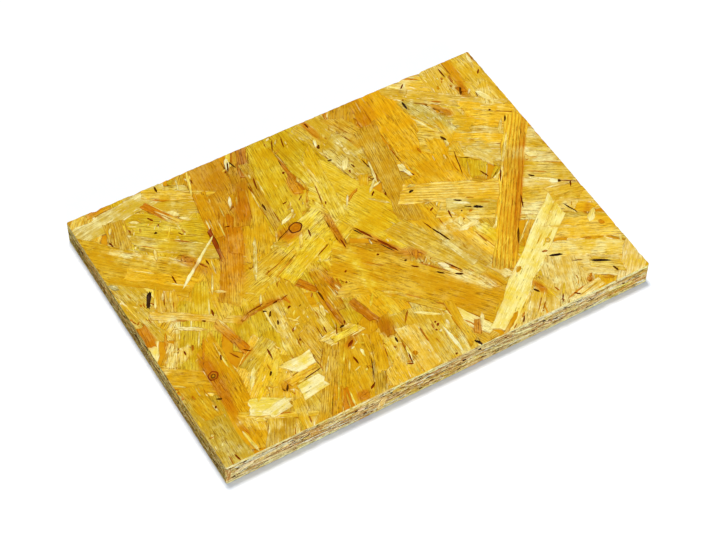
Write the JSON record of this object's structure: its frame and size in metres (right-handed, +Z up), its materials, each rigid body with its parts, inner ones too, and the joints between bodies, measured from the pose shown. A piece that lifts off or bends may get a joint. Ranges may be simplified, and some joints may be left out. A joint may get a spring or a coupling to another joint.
{
  "type": "osb panel",
  "caption": "Loose rectangular panel of oriented strand board, lying flat, with pressed strand faces and plain sawn edges.",
  "frame": {"origin": "middle of the underside", "axes": "+X along the longer side, +Y along the shorter side, +Z up through the thickness"},
  "size_m": [0.297, 0.21, 0.018],
  "materials": {
    "strand_wood": "pressed wood strands under a thin resin and wax sheen, sawn raw at the edges"
  },
  "bodies": {
    "root": {"board": "strand_wood"}
  },
  "joints": []
}
